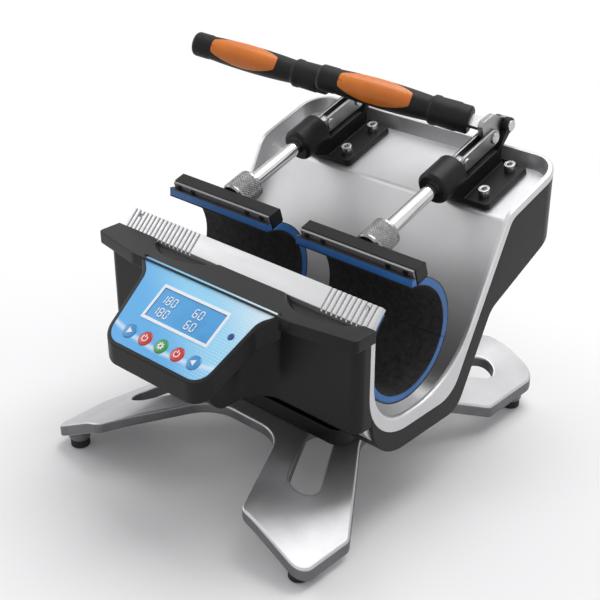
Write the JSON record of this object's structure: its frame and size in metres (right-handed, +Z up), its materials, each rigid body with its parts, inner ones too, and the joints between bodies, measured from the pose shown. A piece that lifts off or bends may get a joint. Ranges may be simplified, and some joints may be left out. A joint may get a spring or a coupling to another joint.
{
  "type": "mug heat press",
  "caption": "Double mug heat press: two wrap heaters in a tilted silver and black body, toggle clamps with long grips, a control head and a low stand.",
  "frame": {"origin": "middle of the whole object's base, at the height of the feet's undersides", "axes": "+X to the right along the mugs' common axis, +Y to the back, +Z up; the control head faces -Y"},
  "size_m": [0.3584, 0.3374, 0.2862],
  "materials": {
    "cast_aluminium": "satin casting",
    "silver_paint": "satin silver paint",
    "black_plastic": "fine matte",
    "black_paint": "semi-gloss",
    "comb_silver": "satin",
    "panel_film": "printed film",
    "display": "glossy",
    "circuit_board": "solder mask",
    "key_blue": "glossy",
    "key_red": "glossy",
    "key_green": "glossy",
    "cast_black": "painted casting",
    "bar_black": "satin black",
    "chrome": "polished",
    "steel": "brushed",
    "grip_rubber": "soft matte",
    "orange_insert": "smooth",
    "mat_foam": "matte",
    "blue_silicone": "satin",
    "foot_rubber": "matte"
  },
  "bodies": {
    "press": {"base_plate": "cast_aluminium", "rubber_feet": "foot_rubber", "pedestal": "black_paint", "body_bolts": "steel", "back_shell": "black_paint", "seat_cover": "silver_paint", "comb_bar": "comb_silver", "front_housing": "black_plastic", "panel_overlay": "panel_film", "lcd_display": "display", "control_board": "circuit_board", "power_board": "circuit_board", "power_inlet": "black_plastic", "switch_frame": "black_plastic", "fuse_holder": "black_plastic", "heater_saddles": "black_plastic", "clamp_screws": "chrome", "ear_pins": "steel", "heater_band": "steel", "heater_silicone": "blue_silicone", "heater_mat": "mat_foam", "clamp_base_left": "cast_black", "clamp_base_right": "cast_black"},
    "plunger_left": {"plunger_rod_left": "chrome", "press_bar_left": "bar_black", "end_plate_left": "steel", "plate_screws_left": "steel", "plunger_pin_left": "steel", "tail_band_left": "steel", "tail_silicone_left": "blue_silicone", "tail_mat_left": "mat_foam"},
    "adjuster_left": {"adjuster_knob_left": "chrome"},
    "handle_left": {"lever_left": "steel", "grip_left": "grip_rubber", "grip_insert_left": "orange_insert"},
    "toggle_left": {"link_left": "steel", "link_pin_left": "steel"},
    "plunger_right": {"plunger_rod_right": "chrome", "press_bar_right": "bar_black", "end_plate_right": "steel", "plate_screws_right": "steel", "plunger_pin_right": "steel", "tail_band_right": "steel", "tail_silicone_right": "blue_silicone", "tail_mat_right": "mat_foam"},
    "adjuster_right": {"adjuster_knob_right": "chrome"},
    "handle_right": {"lever_right": "steel", "grip_right": "grip_rubber", "grip_insert_right": "orange_insert"},
    "toggle_right": {"link_right": "steel", "link_pin_right": "steel"},
    "rocker": {"rocker_switch": "black_plastic"},
    "key_1_body": {"key_1": "key_blue"},
    "key_2_body": {"key_2": "key_red"},
    "key_3_body": {"key_3": "key_green"},
    "key_4_body": {"key_4": "key_red"},
    "key_5_body": {"key_5": "key_blue"},
    "reset_key_body": {"reset_key": "key_blue"}
  },
  "joints": [
    {"name": "handle_left_swing", "type": "hinge", "parent": "press", "child": "handle_left", "pos_m": [-0.0306, 0.15883, 0.24914], "axis": [-1, 0, 0], "range_deg": [0, 90]},
    {"name": "toggle_left_turn", "type": "hinge", "parent": "handle_left", "child": "toggle_left", "pos_m": [-0.0306, 0.13956, 0.2431], "axis": [-1, 0, 0], "range_deg": [-121.56, 0]},
    {"name": "plunger_left_slide", "type": "slide", "parent": "press", "child": "plunger_left", "axis": [0, 0.9542, 0.299], "range_m": [0, 0.02593]},
    {"name": "adjuster_left_turn", "type": "hinge", "parent": "plunger_left", "child": "adjuster_left", "pos_m": [-0.0306, 0.00047, 0.19951], "axis": [0, 0.9542, 0.299], "continuous": true},
    {"name": "handle_right_swing", "type": "hinge", "parent": "press", "child": "handle_right", "pos_m": [0.111, 0.15883, 0.24914], "axis": [-1, 0, 0], "range_deg": [0, 90]},
    {"name": "toggle_right_turn", "type": "hinge", "parent": "handle_right", "child": "toggle_right", "pos_m": [0.111, 0.13956, 0.2431], "axis": [-1, 0, 0], "range_deg": [-121.56, 0]},
    {"name": "plunger_right_slide", "type": "slide", "parent": "press", "child": "plunger_right", "axis": [0, 0.9542, 0.299], "range_m": [0, 0.02593]},
    {"name": "adjuster_right_turn", "type": "hinge", "parent": "plunger_right", "child": "adjuster_right", "pos_m": [0.111, 0.00047, 0.19951], "axis": [0, 0.9542, 0.299], "continuous": true},
    {"name": "rocker_tilt", "type": "hinge", "parent": "press", "child": "rocker", "pos_m": [0.0557, 0.15967, 0.198], "axis": [1, 0, 0], "range_deg": [0, 10]},
    {"name": "key_1_press", "type": "slide", "parent": "press", "child": "key_1_body", "axis": [0, 0.5373, -0.8434], "range_m": [0, 0.0008], "stiffness_N_per_m": 1500},
    {"name": "key_2_press", "type": "slide", "parent": "press", "child": "key_2_body", "axis": [0, 0.5373, -0.8434], "range_m": [0, 0.0008], "stiffness_N_per_m": 1500},
    {"name": "key_3_press", "type": "slide", "parent": "press", "child": "key_3_body", "axis": [0, 0.5373, -0.8434], "range_m": [0, 0.0008], "stiffness_N_per_m": 1500},
    {"name": "key_4_press", "type": "slide", "parent": "press", "child": "key_4_body", "axis": [0, 0.5373, -0.8434], "range_m": [0, 0.0008], "stiffness_N_per_m": 1500},
    {"name": "key_5_press", "type": "slide", "parent": "press", "child": "key_5_body", "axis": [0, 0.5373, -0.8434], "range_m": [0, 0.0008], "stiffness_N_per_m": 1500},
    {"name": "reset_key_press", "type": "slide", "parent": "press", "child": "reset_key_body", "axis": [0, 0.5373, -0.8434], "range_m": [0, 0.0008], "stiffness_N_per_m": 1500}
  ],
  "couplings": [
    {"joint": "toggle_left_turn", "follows": "handle_left_swing", "ratio": -1.3506},
    {"joint": "plunger_left_slide", "follows": "handle_left_swing", "m_per_rad": 0.016493},
    {"joint": "toggle_right_turn", "follows": "handle_right_swing", "ratio": -1.3506},
    {"joint": "plunger_right_slide", "follows": "handle_right_swing", "m_per_rad": 0.016493}
  ]
}
